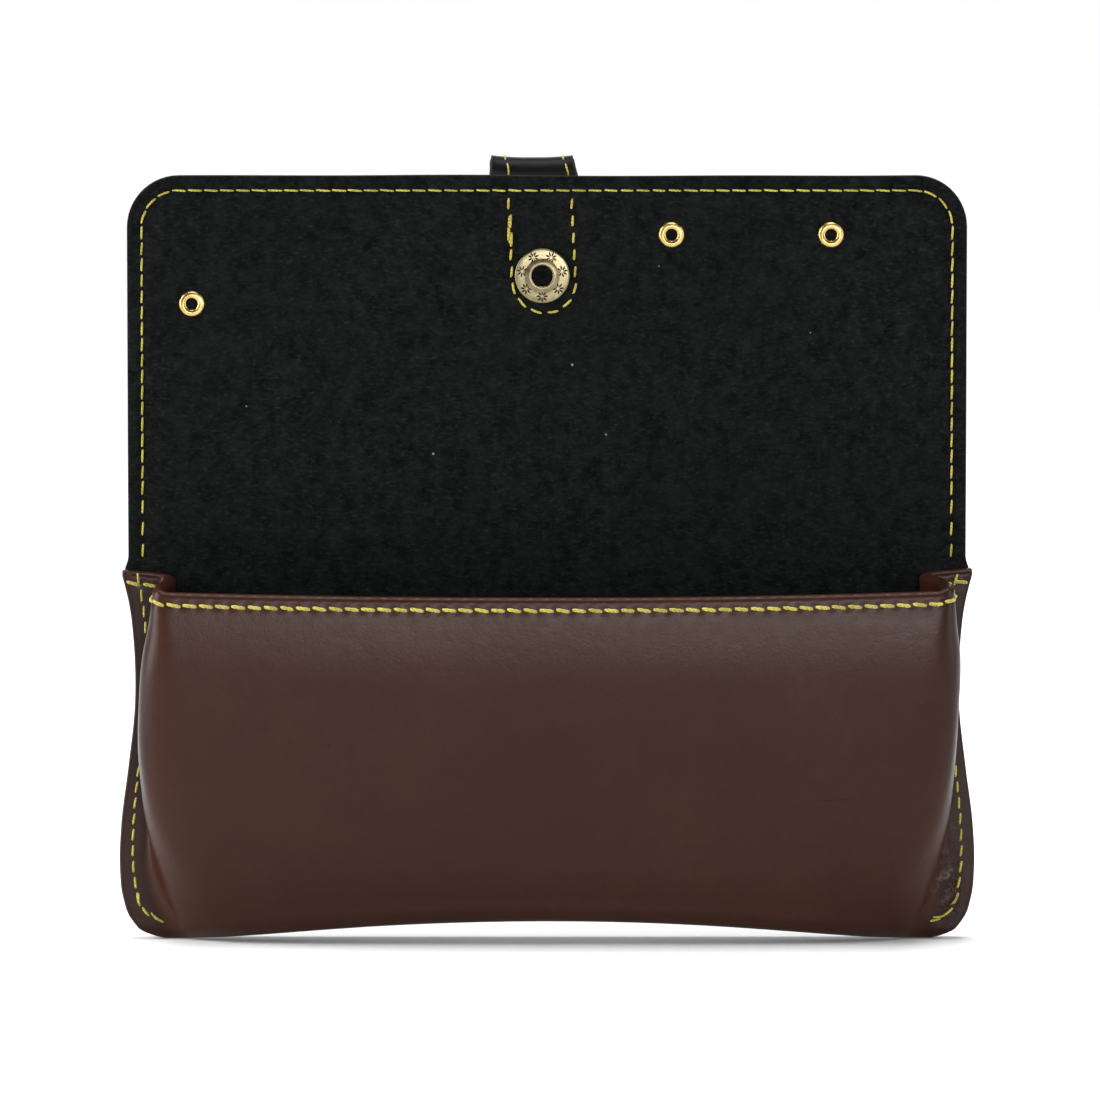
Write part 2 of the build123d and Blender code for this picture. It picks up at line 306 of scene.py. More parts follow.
def stitches(name, path, outward, material, radius, length, slant=0.0, seed=1):
    """Separate twisted stitches along a path on a surface that faces outward."""
    r = np.random.default_rng(seed)
    path, outward = np.asarray(path, float), np.asarray(outward, float)
    gone = arc_length(path)
    step, count = pitch_that_fits(gone[-1])
    points, faces = [], []
    for i in range(count):
        half = length / 2 * r.uniform(0.94, 1.04)
        lean = slant * r.uniform(0.6, 1.4)
        rise = r.uniform(0.85, 1.1)
        s = (i + 0.5) * step + np.linspace(-half, half, THREAD_RINGS)
        base = len(points)
        points += stitch(path, outward, gone, s, radius, lean, rise)
        last = len(points) - THREAD_SIDES
        for k in range(base, last, THREAD_SIDES):
            faces += band_faces(k + THREAD_SIDES, k, THREAD_SIDES)
        faces += [tuple(base + a for a in range(THREAD_SIDES))]
        faces += [tuple(last + a for a in reversed(range(THREAD_SIDES)))]
    made = mesh_object(name, points, faces, material)
    fix_normals(made)
    return made


# ---------------------------------------------------------------- materials
class Graph:
    """A new material, with short ways to build its nodes. Lengths inside it are in metres."""

    def __init__(self, name, **values):
        """values are plain values for the shader's own sockets."""
        self.material = bpy.data.materials.new(name)
        self.material.use_nodes = True
        self.tree = self.material.node_tree
        self.shader = self.tree.nodes["Principled BSDF"]
        for socket, value in values.items():
            self.shader.inputs[socket.replace("_", " ")].default_value = value
        self.place = self.make("ShaderNodeTexCoord").outputs["Object"]

    def make(self, kind, **settings):
        """A node with its settings and its sockets' plain values."""
        node = self.tree.nodes.new(kind)
        for key, value in settings.items():
            if hasattr(node, key):
                setattr(node, key, value)
            else:
                node.inputs[key.replace("_", " ")].default_value = value
        return node

    def feed(self, socket, value):
        """Put a plain value or another node's result into a socket."""
        if hasattr(value, "is_output"):
            self.tree.links.new(value, socket)
        else:
            socket.default_value = value

    def ramp(self, source, low_at, high_at, low_value, high_value):
        """A clamped straight map of a number."""
        node = self.make("ShaderNodeMapRange", From_Min=low_at, From_Max=high_at)
        node.inputs["To Min"].default_value, node.inputs["To Max"].default_value = low_value, high_value
        self.feed(node.inputs["Value"], source)
        return node.outputs["Result"]

    def mix(self, factor, first, second):
        """A colour between two, each a colour or a node's result."""
        node = self.make("ShaderNodeMix", data_type="RGBA")
        self.feed(node.inputs["Factor"], factor)
        for name, value in (("A", first), ("B", second)):
            socket = [i for i in node.inputs if i.name == name and i.type == "RGBA"][0]
            self.feed(socket, (*value, 1) if isinstance(value, tuple) else value)
        return [o for o in node.outputs if o.type == "RGBA"][0]

    def calc(self, operation, *terms):
        node = self.make("ShaderNodeMath", operation=operation)
        for socket, term in zip(node.inputs, terms):
            self.feed(socket, term)
        return node.outputs[0]

    def noise(self, scale, detail=3.0, roughness=0.55, stretch=None):
        """Noise with features of 1/scale."""
        node = self.make("ShaderNodeTexNoise", Scale=scale, Detail=detail, Roughness=roughness)
        vector = self.place
        if stretch:
            mapping = self.make("ShaderNodeMapping", Scale=stretch)
            self.feed(mapping.inputs["Vector"], self.place)
            vector = mapping.outputs["Vector"]
        self.feed(node.inputs["Vector"], vector)
        return node.outputs["Fac"]

    def cells(self, scale):
        """Distance to the nearest of many scattered points, about 1/scale apart."""
        node = self.make("ShaderNodeTexVoronoi", Scale=scale)
        self.feed(node.inputs["Vector"], self.place)
        return node.outputs["Distance"]

    def specks(self, scale, size, share):
        """Small round spots about 1/scale apart, this strong."""
        return self.calc("MULTIPLY", self.calc("LESS_THAN", self.cells(scale), size), share)

    def attribute(self, name):
        """A number that the mesh holds at each of its points."""
        return self.make("ShaderNodeAttribute", attribute_name=name).outputs["Fac"]

    def bumps(self, *layers):
        """Bumps one over another, each (height, strength, depth)."""
        normal = None
        for height, strength, depth in layers:
            node = self.make("ShaderNodeBump", Strength=strength, Distance=depth)
            self.feed(node.inputs["Height"], height)
            if normal is not None:
                self.feed(node.inputs["Normal"], normal)
            normal = node.outputs["Normal"]
        self.feed(self.shader.inputs["Normal"], normal)

    def paint(self, colour, roughness=None):
        """Give the shader its colour and roughness, and return the finished material."""
        self.feed(self.shader.inputs["Base Color"], colour)
        if roughness is not None:
            self.feed(self.shader.inputs["Roughness"], roughness)
        return self.material


def leather_material(name, dark, pale, rough, shine=0.2, pocket=False):
    """Smooth dyed leather with pores, cloudy dye, faint scratches and lint. pocket adds its marks and
    painted shade.
    """
    graph = Graph(name, Specular_IOR_Level=shine)
    shade = tuple(0.55 * c for c in dark)
    fine = graph.noise(420, 4, 0.6)
    scratch = graph.noise(60, 5, 0.7, stretch=(0.35, 1, 7))
    tone = graph.mix(graph.ramp(graph.noise(34, 4, 0.6), 0.35, 0.68, 0, 1), dark, pale)
    tone = graph.mix(graph.ramp(fine, 0.3, 0.75, 0.22, 0.0), tone, shade)
    tone = graph.mix(graph.specks(130, 0.045, 0.5), tone, shade)
    tone = graph.mix(graph.specks(46, 0.012, 0.5), tone, LEATHER_LINT)
    polish = graph.ramp(scratch, 0.42, 0.62, rough - 0.015, rough + 0.02)
    polish = graph.calc("ADD", polish, graph.ramp(fine, 0.3, 0.7, -0.03, 0.03))
    layers = [
        (graph.cells(1900), 0.10, 0.00012),
        (graph.cells(3400), 0.10, 0.00008),
        (fine, 0.10, 0.0006),
        (scratch, 0.02, 0.0004),
    ]
    if pocket:
        tone, marks = pocket_marks_and_painted_shade(graph, tone, shade)
        layers += marks
    graph.bumps(*layers)
    return graph.paint(tone, polish)


def pocket_marks_and_painted_shade(graph, tone, shade):
    """A crease's painted shade, painted shade on the wings, two crushed corners, and the pulls of the hem's
    seam with painted shade in its holes.
    """
    # painted shade: a dark hairline where the front's fine crease holds shade
    tone = graph.mix(hairline(graph), tone, CREASE_PAINTED_SHADE)
    wave = graph.calc("COSINE", graph.calc("MULTIPLY", graph.attribute("seam_run"), 2 * math.pi))
    squared = graph.calc("POWER", graph.attribute("seam_off"), 2.0)
    near = graph.calc("POWER", math.e, graph.calc("MULTIPLY", squared, -1.1))
    pull = graph.calc("MULTIPLY", near, graph.ramp(wave, -1, 1, 0, 1))
    # painted shade in the hem's stitch holes, where the pull peaks
    tone = graph.mix(graph.ramp(pull, 0.72, 0.98, 0, 0.75), tone, HOLE_PAINTED_SHADE)
    # painted shade on the wings, which lie behind the front's bulge
    tone = graph.mix(graph.calc("MULTIPLY", graph.attribute("wing_painted_shade"), 0.8), tone, shade)
    grain = graph.ramp(graph.noise(480, 5, 0.75), 0.47, 0.62, 0, 1)
    crushed = graph.calc("MULTIPLY", graph.attribute("crushed"), grain)
    tone = graph.mix(graph.calc("MULTIPLY", crushed, 0.5), tone, CRUSHED_LEATHER)
    return tone, [(crushed, 0.8, 0.0005), (pull, 0.45, -0.0003)]


def hairline(graph):
    """A mask for the painted shade of one fine, nearly level crease on the pocket's front."""
    x, z, half = CREASE
    apart = graph.make("ShaderNodeSeparateXYZ")
    graph.feed(apart.inputs[0], graph.place)
    across = graph.calc("SUBTRACT", apart.outputs["X"], x)
    up = graph.calc("SUBTRACT", apart.outputs["Z"], z)
    up = graph.calc("SUBTRACT", up, graph.calc("MULTIPLY", across, 0.06))
    thin = graph.calc("LESS_THAN", graph.calc("ABSOLUTE", up), 0.00009)
    short = graph.calc("LESS_THAN", graph.calc("ABSOLUTE", across), half)
    front = graph.calc("LESS_THAN", apart.outputs["Y"], 0.0)
    line = graph.calc("MULTIPLY", graph.calc("MULTIPLY", thin, short), front)
    return graph.calc("MULTIPLY", line, 0.8)


def felt_material(name):
    """Black felt: matted fibres, soft mottling and a few pale specks of lint."""
    graph = Graph(
        name, Specular_IOR_Level=0.05, Roughness=0.95, Sheen_Weight=0.02, Sheen_Roughness=0.5,
        Sheen_Tint=(0.75, 0.8, 0.85, 1),
    )
    mottle = graph.noise(420, 5, 0.7)
    fibre = graph.noise(1500, 5, 0.75, stretch=(0.5, 1.0, 1.2))
    hair = graph.noise(1500, 4, 0.7, stretch=(0.35, 1.0, 1.0))
    cloud = graph.noise(30, 3, 0.5)
    tone = graph.mix(graph.ramp(mottle, 0.35, 0.66, 0, 1), FELT_DARK, FELT_PALE)
    tone = graph.mix(graph.ramp(fibre, 0.52, 0.72, 0, 0.7), tone, FELT_FIBRE)
    tone = graph.mix(graph.ramp(cloud, 0.4, 0.65, 0, 0.2), tone, FELT_CLOUD)
    tone = graph.mix(graph.specks(95, 0.022, 0.75), tone, FELT_LINT)
    graph.bumps((mottle, 0.5, 0.0009), (fibre, 0.6, 0.00045), (hair, 0.5, 0.00025))
    return graph.paint(tone)


def thread_material(name, dull, bright):
    """Waxed polyester thread, with painted shade between its plies."""
    graph = Graph(name, Roughness=0.55, Specular_IOR_Level=0.35, Sheen_Weight=0.15)
    wave = graph.make("ShaderNodeTexWave", bands_direction="DIAGONAL", Scale=900, Distortion=1.5)
    graph.feed(wave.inputs["Vector"], graph.place)
    ply = wave.outputs["Fac"]
    tone = graph.mix(graph.ramp(graph.noise(260, 2, 0.5), 0.35, 0.65, 0, 1), dull, bright)
    # painted shade in the grooves between the thread's plies
    tone = graph.mix(graph.ramp(ply, 0.0, 0.5, 0.55, 0.0), tone, tuple(0.3 * c for c in dull))
    graph.bumps((ply, 0.6, 0.00012), (graph.noise(2500, 3, 0.6), 0.3, 0.0001))
    return graph.paint(tone)


def metal_material(name, bright, dull, rough, wear=0.5):
    """Plated metal: dull in its hollows, rubbed bright on its edges, slightly rough."""
    graph = Graph(name, Metallic=1.0)
    patch = graph.noise(700, 4, 0.6)
    rub = graph.make("ShaderNodeNewGeometry").outputs["Pointiness"]
    rub = graph.calc("MULTIPLY", graph.ramp(rub, 0.47, 0.53, 0, 1), wear)
    share = graph.calc("ADD", rub, graph.ramp(patch, 0.3, 0.7, 0, 1 - wear))
    polish = graph.ramp(patch, 0.3, 0.7, rough - 0.06, rough + 0.10)
    graph.bumps((graph.noise(3500, 3, 0.6), 0.15, 0.00005))
    return graph.paint(graph.mix(share, dull, bright), polish)


CREASE = (0.0538, 0.0285, 0.0029)  # middle x and z of the front's hairline crease, and half its length
# painted shade colours for the front's crease and for the hem's stitch holes
CREASE_PAINTED_SHADE, HOLE_PAINTED_SHADE = (0.003, 0.002, 0.002), (0.004, 0.003, 0.003)
LEATHER_LINT = (0.35, 0.33, 0.32)
CRUSHED_LEATHER = (0.12, 0.095, 0.09)
FELT_DARK, FELT_PALE = (0.0008, 0.0010, 0.0010), (0.0058, 0.0066, 0.0064)
FELT_FIBRE, FELT_CLOUD, FELT_LINT = (0.019, 0.0205, 0.020), (0.003, 0.0033, 0.0034), (0.22, 0.22, 0.22)
BROWN_DARK, BROWN_PALE = (0.0235, 0.0068, 0.0033), (0.0285, 0.0088, 0.0046)
brown = leather_material("brown_leather", BROWN_DARK, BROWN_PALE, 0.34, shine=0.13)
brown_hem = leather_material("brown_leather_hemmed", BROWN_DARK, BROWN_PALE, 0.34, shine=0.13, pocket=True)
raw_edge = leather_material("raw_edge", (0.010, 0.007, 0.006), (0.030, 0.022, 0.018), 0.8)
black = leather_material("black_leather", (0.0030, 0.0030, 0.0030), (0.005, 0.005, 0.005), 0.42, shine=0.06)
felt = felt_material("black_felt")
yellow = thread_material("yellow_thread", (0.265, 0.215, 0.015), (0.44, 0.365, 0.045))
brass = metal_material("bright_brass", (0.62, 0.44, 0.17), (0.34, 0.22, 0.07), 0.25, 0.4)
antique = metal_material("antique_brass", (0.245, 0.212, 0.125), (0.085, 0.069, 0.036), 0.30, 0.55)
steel = metal_material("steel", (0.62, 0.61, 0.58), (0.35, 0.34, 0.32), 0.28, 0.5)
patina = metal_material("patina", (0.028, 0.022, 0.014), (0.012, 0.010, 0.007), 0.45, 0.5)

# ---------------------------------------------------------------- the pocket's shape
# Each list gives (height, value). The wing's outer edge, the fold where the front leaves the wing, the
# belly of the side wall, the front corner and the front's depth all change slowly with height.
WING_EDGE = (
    (0, 73.0), (1.2, 76.0), (4, 78.9), (8, 80.4), (14, 81.0), (22, 80.7), (33, 79.3), (45, 78.0), (57, 78.2),
    (64, 79.0), (71, 80.7),
)
FOLD_EDGE = ((0, 70.2), (9, 74.0), (20, 75.0), (34, 74.4), (50, 74.0), (60, 73.2), (71, 72.6))
BELLY = (
    (0, 66.2), (9, 71.0), (16, 74.3), (22, 76.2), (34, 77.6), (46, 77.6), (56, 77.2), (63, 75.8), (71, 74.4),
)
CORNER = (
    (0, 57.0), (9, 61.5), (16, 67.0), (22, 71.0), (34, 75.3), (46, 76.8), (56, 76.6), (63, 75.9), (71, 75.4),
)
CORNER_ROUND = ((0, 15.0), (9, 17.0), (22, 14.0), (34, 11.0), (46, 9.5), (56, 6.5), (66, 3.6), (71, 3.2))
CREASE_ROUND = ((0, 3.0), (12, 3.2), (25, 1.7), (34, 1.2), (71, 1.2))
DEPTH = (
    (0, 10.4), (9, 14.8), (22, 19.0), (34, 21.9), (46, 23.6), (54, 24.3), (60, 24.2), (66, 23.7), (71, 23.1),
)
CROWN = 0.35  # how much deeper the front is at its middle
ARCH_HALF = 72.0
ARCH_RISE = 4.2
LIP_MIDDLE = 67.1
LIP_RISE = {1: 2.4, -1: 1.9}  # the lip stands higher at its right corner than at its left
LIP_SHIFT = 1.2  # the mouth leans this far to the right of the bottom
WING_RISE = {1: 70.9, -1: 70.6}
FRONT_ROLL, BACK_ROLL = 4.6, 3.2  # radii where the leather turns under
HEM_ROLL = 1.22
HEM_ROWS = (3.6, 2.8, 1.9, 0.9)  # how far under the lip's turn each row of the turned-in hem lies
LIP_ROWS = 9
SEAM_ROWS = (0.4, 0.8, 1.2, 1.6, 2.0, 2.6, 3.3, 4.2)  # and each of the rows round the hem's seam
FRONT_COLUMNS = 60
WING_COLUMNS = 7
SIDE_COLUMNS = 26  # from the front's corner to the wing's edge
MAGNET = middle("magnet")


def arch(x):
    """Height of the pocket's bottom above the ground."""
    return ARCH_RISE * (1 - np.clip(np.abs(x) / ARCH_HALF, 0, 1) ** 2) ** 1.3


def bend(a, b, c, before, after, steps):
    """Points of a soft corner at b, which starts and ends at these distances from it."""
    start, end = b + unit(a - b) * before[:, None], b + unit(c - b) * after[:, None]
    t = np.linspace(0, 1, steps)[:, None, None]
    return (1 - t) ** 2 * start + 2 * t * (1 - t) * b + t**2 * end


def half_section(z):
    """The front's section from its middle to the wing's edge: (column, height, (x, depth))."""
    z = np.atleast_1d(z).astype(float)
    depth, corner, reach = along(DEPTH, z), along(CORNER, z), along(CORNER_ROUND, z)
    rise = depth - WING

    def at(x, d):
        return np.stack([x, d + 0 * z], -1)

    centre = at(0 * z, depth + CROWN)
    front = at(corner, depth)
    side = at(along(BELLY, z), WING + 0.5 * rise)
    crease = at(along(FOLD_EDGE, z), WING)
    tip = at(along(WING_EDGE, z), WING)
    wall, flare = np.linalg.norm(front - side, axis=-1), np.linalg.norm(side - crease, axis=-1)
    crease_round = np.minimum(along(CREASE_ROUND, z), 0.5 * flare)
    a = bend(centre, front, side, reach, np.minimum(reach, 0.55 * wall), 15)
    b = bend(front, side, crease, 0.36 * wall, 0.4 * flare, 7)
    c = bend(side, crease, tip, crease_round, crease_round, 7)
    t = np.linspace(0, 1, FRONT_COLUMNS + 1)[:-1, None]
    flat = np.stack([a[0][:, 0] * t, centre[:, 1] + (a[0][:, 1] - centre[:, 1]) * t**2], -1)
    w = np.linspace(0, 1, WING_COLUMNS + 1)[1:, None, None]
    return np.concatenate([flat, a, b, c, c[-1] + (tip - c[-1]) * w])


NOMINAL = half_section(20.0)[:, 0]
COLUMNS = len(NOMINAL)
COLUMN = np.arange(COLUMNS)
EVEN = np.where(COLUMN < FRONT_COLUMNS, COLUMN * NOMINAL[1, 0] / 79.0, 0)
EVEN[FRONT_COLUMNS:] = np.linspace(EVEN[FRONT_COLUMNS - 1], 1, COLUMNS - FRONT_COLUMNS + 1)[1:]


def pick(z):
    """Each column's own point at its own height."""
    return half_section(z)[COLUMN, COLUMN].copy()


def pick_normal(z):
    """Each column's outward direction in the section at its own height."""
    tangent = np.gradient(half_section(z), axis=0)[COLUMN, COLUMN]
    return unit(np.stack([-tangent[:, 1], tangent[:, 0]], -1))


def lip_height(side):
    """The top of the front panel at each column: low in the middle, rising on the wing."""
    lip = LIP_MIDDLE + LIP_RISE[side] * np.clip(NOMINAL[:, 0] / 76, 0, 1) ** 2.2
    share = np.clip((COLUMN - (COLUMNS - SIDE_COLUMNS)) / (SIDE_COLUMNS - 1), 0, 1) ** 1.5
    return lip + (WING_RISE[side] - lip) * share


def as_row(p, z):
    """Points of one row from their (x, depth) and their height."""
    return np.concatenate([p, (z + 0 * p[:, 0])[:, None]], 1)


def hem_rows(lip):
    """Rows from the end of the turned-in hem, over the lip, to just under its seam."""
    out = pick_normal(lip)
    rows = [as_row(pick(lip - down) - 2 * HEM_ROLL * out, lip - down) for down in HEM_ROWS]
    for angle in np.linspace(0, math.pi, LIP_ROWS):
        p = pick(lip) - HEM_ROLL * (1 + math.cos(angle)) * out
        rows.append(as_row(p, lip + HEM_ROLL * math.sin(angle)))
    return rows + [as_row(pick(lip - down), lip - down) for down in SEAM_ROWS]


def front_rows(start, base, roll):
    """Rows down the front from this height, and round the turn at its foot."""
    end = base + roll
    rows = []
    for t in np.linspace(0, 1, 56)[1:]:
        z = start + (end - start) * t
        rows.append(as_row(pick(z), z))
    above = pick(end)[:, 1]
    for angle in np.linspace(0, math.pi / 2, 8)[1:]:
        z = end - roll * math.sin(angle)
        p = pick(z)
        p[:, 1] = above - roll * (1 - math.cos(angle))
        rows.append(as_row(p, z))
    return rows


def back_rows(foot, base, base_back, roll):
    """Rows under the bottom from the front's foot, round the turn, and up the back to the spine's middle."""
    rows = []
    heel = np.stack([EVEN * along(WING_EDGE, 0.0), roll], -1)
    for t in (0.25, 0.5, 0.75, 1.0):
        rows.append(as_row(foot + (heel - foot) * t, base + (base_back - base) * t))
    for angle in np.linspace(0, math.pi / 2, 7)[1:]:
        z = base_back + roll * (1 - math.cos(angle))
        rows.append(as_row(np.stack([EVEN * along(WING_EDGE, z), roll * (1 - math.sin(angle))], -1), z))
    start, straight = base_back + roll, LOWER_FOLD - 3.0
    for t in np.linspace(0, 1, 40)[1:]:
        z = start + (straight - start) * t
        rows.append(as_row(np.stack([EVEN * along(WING_EDGE, z), 0 * z], -1), z))
    for h in np.linspace(straight, SPINE_MIDDLE, 24)[1:]:
        narrow = ease((h - straight) / 5.0)
        width = along(WING_EDGE, h) * (1 - narrow) + FLAP_HALF * narrow
        rows.append(as_row(np.stack([EVEN * width, 0 * EVEN], -1), h))
    return rows


def worn_in(x, depth, z):
    """How use has changed the shape: it leans, bulges over the magnet, waves, and crumples in one corner."""
    out = depth - WING
    x = x + LIP_SHIFT * ease((z - 34) / 34) * np.clip(out / 7, 0, 1)
    front = np.clip(depth - 10, 0, 1)
    crumple = np.exp(-(((x - 75) / 4) ** 2) - ((z - 14) / 8) ** 2) * np.clip(out / 2, 0, 1)
    bulge = np.exp(-(((x - MAGNET[0]) / 3) ** 2) - ((z - MAGNET[2]) / 3) ** 2)
    depth = depth + front * (0.16 * bulge + 0.22 * ripple(x, z, 3, 46))
    return x, depth + 0.22 * crumple * np.sin(1.7 * x + 2.6 * z), z


def half_strip(side):
    """Half of the strip's outer face, from the turned-in hem over the lip, down, under, and up the back."""
    lip = lip_height(side) - HEM_ROLL
    base, base_back = arch(half_section(2.0)[:, 0, 0]), arch(EVEN * along(WING_EDGE, 0.0))
    depth_low = pick(base + 4)[:, 1]
    rows = hem_rows(lip) + front_rows(lip - SEAM_ROWS[-1], base, np.minimum(FRONT_ROLL, 0.49 * depth_low))
    rows += back_rows(rows[-1][:, :2], base, base_back, np.minimum(BACK_ROLL, 0.47 * depth_low))
    grid = np.stack(rows)
    x, depth, z = worn_in(grid[..., 0] * side, grid[..., 1], grid[..., 2])
    return np.stack([x, BACK - depth, z], -1)


def strip():
    """Both halves side by side, from -x to +x."""
    left, right = half_strip(-1), half_strip(1)
    return np.concatenate([left[:, :0:-1], right], axis=1)


HEM_ROW = len(HEM_ROWS) + LIP_ROWS + 2
FELT_ROW = HEM_ROW + 4
FAR_OFF = 9.0  # beyond the reach of the hem's stitches
pocket_face = strip()
pocket_normal = grid_normals(pocket_face)


def flap_rows():
    """Heights and half-widths of the upper sheet's rows, close together round its corners."""
    low_rows = np.linspace(SPINE_MIDDLE, FLAP_TOP - FLAP_CORNER, 46)
    angle = np.linspace(0, math.pi / 2, 14)[1:]
    z = np.concatenate([low_rows, FLAP_TOP - FLAP_CORNER * (1 - np.sin(angle))])
    half = np.concatenate([FLAP_HALF + 0 * low_rows, FLAP_HALF - FLAP_CORNER * (1 - np.cos(angle))])
    return z, half


def flap_face(y):
    z, half = flap_rows()
    share = np.concatenate([-EVEN[:0:-1], EVEN])
    x = half[:, None] * share
    z = z[:, None] + 0 * x
    wave = 0.16 * ripple(x, z, 11, 60) * ease((z - SPINE_MIDDLE) / 20)
    z = z + 0.22 * ripple(x, 0 * z, 5, 55) * ease((z - 120) / 25)
    return np.stack([x, y + wave, z], -1)


def edge_distance(grid):
    """Distance in from the flap's outline at each point of a flat grid."""
    x, z = np.abs(grid[..., 0]), grid[..., 2]
    side, top = FLAP_HALF - x, FLAP_TOP - z
    in_corner = (side < FLAP_CORNER) & (top < FLAP_CORNER)
    corner = FLAP_CORNER - np.hypot(FLAP_CORNER - side, FLAP_CORNER - top)
    return np.where(in_corner, corner, np.minimum(side, top))


def sunk(grid, above):
    """How far the felt is drawn in by the seam round the flap, for heights over above."""
    groove = 0.38 * np.exp(-(((edge_distance(grid) - STITCH_IN) / 0.8) ** 2))
    return groove * ease((grid[..., 2] - above) / 2)


def pocket_wear_and_painted_shade():
    """What the pocket's leather knows at each point: where its stitches are (for their pulls and their
    holes' painted shade), where its wings are (for their painted shade), and where its crushed corners are.
    """
    line = pocket_face[HEM_ROW]
    gone = arc_length(line)
    run = np.broadcast_to(gone / pitch_that_fits(gone[-1])[0], pocket_face.shape[:2])
    off = np.full(pocket_face.shape[:2], FAR_OFF)
    rows = slice(HEM_ROW - 5, FELT_ROW + 6)
    off[rows] = np.clip(line[:, 2] - pocket_face[rows, :, 2], -FAR_OFF, FAR_OFF)
    x, z, front = pocket_face[..., 0], pocket_face[..., 2], BACK - pocket_face[..., 1] > WING - 0.5
    # the wings' mask, for their painted shade
    wing_painted_shade = front * ease((np.abs(x) - along(FOLD_EDGE, z)) / 2)
    crushed = np.exp(-(((x - 76) / 2.3) ** 2) - ((z - 11) / 6) ** 2)
    crushed = crushed + np.exp(-(((x + 80.6) / 1.4) ** 2) - ((z - 71) / 1.6) ** 2)
    return {"seam_run": run, "seam_off": off, "wing_painted_shade": wing_painted_shade, "crushed": front * crushed}


leather_low = shell(
    "pocket_strip", pocket_face, LEATHER, brown_hem, ("bottom",), pocket_wear_and_painted_shade(), edge=raw_edge
)
felt_low_face = (pocket_face - pocket_normal * (LEATHER + GAP))[FELT_ROW:]
felt_low = shell("pocket_felt", felt_low_face, FELT - sunk(felt_low_face, LOWER_FOLD), felt, ("bottom",))
leather_high = shell("flap_strip", flap_face(BACK), LEATHER, brown, ("top",), edge=raw_edge)
felt_high_face = flap_face(BACK - LEATHER - GAP)
felt_high = shell("flap_felt", felt_high_face, FELT - sunk(felt_high_face, LOWER_FOLD), felt, ("top",))

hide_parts("pocket_leather", "spine_leather")
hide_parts("pocket_lining", "spine_lining")
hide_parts("flap_leather")
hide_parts("flap_lining")
for piece, slot in ((leather_low, "brown_leather"), (felt_low, "black_felt")):
    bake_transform(piece)
for piece, slot in ((leather_high, "brown_leather"), (felt_high, "black_felt")):
    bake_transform(piece)

# ---------------------------------------------------------------- seams
FELT_FACE = BACK - LEATHER - GAP - FELT
FELT_SEAM, LEATHER_SEAM = FELT_FACE + 0.30, BACK - 0.05
FORWARD, BACKWARD = (0, -1, 0), (0, 1, 0)


def edge_path(side, y):
    """The seam up one side of the spine."""
    z = np.linspace(LOWER_FOLD + 1.0, SPINE_MIDDLE, 20)
    return np.stack([side * (FLAP_HALF - STITCH_IN) + 0 * z, y + 0 * z, z], -1)


def flap_path(y):
    """The seam round the flap, up one side, across and down the other."""
    radius = FLAP_CORNER - STITCH_IN
    cx, cz = FLAP_HALF - FLAP_CORNER, FLAP_TOP - FLAP_CORNER
    side = np.linspace(SPINE_MIDDLE, cz, 60)
    turn = np.linspace(0, math.pi / 2, 20)[1:]
    half_x = np.concatenate([cx + radius + 0 * side, cx + radius * np.cos(turn)])
    half_z = np.concatenate([side, cz + radius * np.sin(turn)])
    middle_x = np.linspace(-cx, cx, 80)[1:-1]
    x = np.concatenate([-half_x, middle_x, half_x[::-1]])
    z = np.concatenate([half_z, FLAP_TOP - STITCH_IN + 0 * middle_x, half_z[::-1]])
    return np.stack([x, y + 0 * x, z], -1)


def straight_seam(name, path, direction, radius, length, slant, seed):
    """Stitches that all face one way."""
    outward = np.broadcast_to(np.array(direction, float), np.shape(path))
    return stitches(name, path, outward, yellow, radius, length, slant, seed)


def joined(name, pieces):
    """One mesh from several."""
    bpy.ops.object.select_all(action="DESELECT")
    for piece in pieces:
        piece.select_set(True)
    bpy.context.view_layer.objects.active = pieces[0]
    bpy.ops.object.join()
    pieces[0].name = name
    return pieces[0]


def made_of(piece, node, body):
    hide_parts(node)
    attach(piece, body)


def both_faces(name, felt_path, leather_path, seed):
    """The same seam seen on the felt and on the leather."""
    return joined(name, [
        straight_seam(name + "_in", felt_path, FORWARD, THREAD, 2.7, 0.08, seed),
        straight_seam(name + "_out", leather_path, BACKWARD, THREAD, 2.4, 0.0, seed + 1),
    ])


seam = both_faces("seam_flap", flap_path(FELT_SEAM), flap_path(LEATHER_SEAM), 21)
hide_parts("flap_thread")
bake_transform(seam)
for side, node in ((-1, "spine_thread_left"), (1, "spine_thread_right")):
    seam = both_faces("seam_" + node, edge_path(side, FELT_SEAM), edge_path(side, LEATHER_SEAM), 31 + side)
    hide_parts(node)
    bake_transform(seam)

out = pocket_normal[HEM_ROW]
hem = stitches("seam_hem", pocket_face[HEM_ROW] - out * 0.12, out, yellow, HEM_THREAD, 2.9, 0.19, 5)
made_of(hem, "hem_thread", "pocket")

SIDE_SEAM = (
    (72.4, 3.2), (75.4, 4.4), (77.1, 6.0), (78.4, 11.0), (78.8, 18.0), (78.5, 24.0), (77.6, 33.0),
    (76.6, 41.0), (76.1, 50.0), (76.2, 59.5), (76.8, 65.0), (77.4, 68.0), (77.9, 70.2),
)


def side_seam(side):
    """The side seam's path, smoothed."""
    corners = np.array(SIDE_SEAM)
    gone = arc_length(corners)
    s = np.linspace(0, gone[-1], 160)
    x = along(list(zip(gone, corners[:, 0])), s)
    z = along(list(zip(gone, corners[:, 1])), s)
    return np.stack([side * x, 0 * x, z], -1)


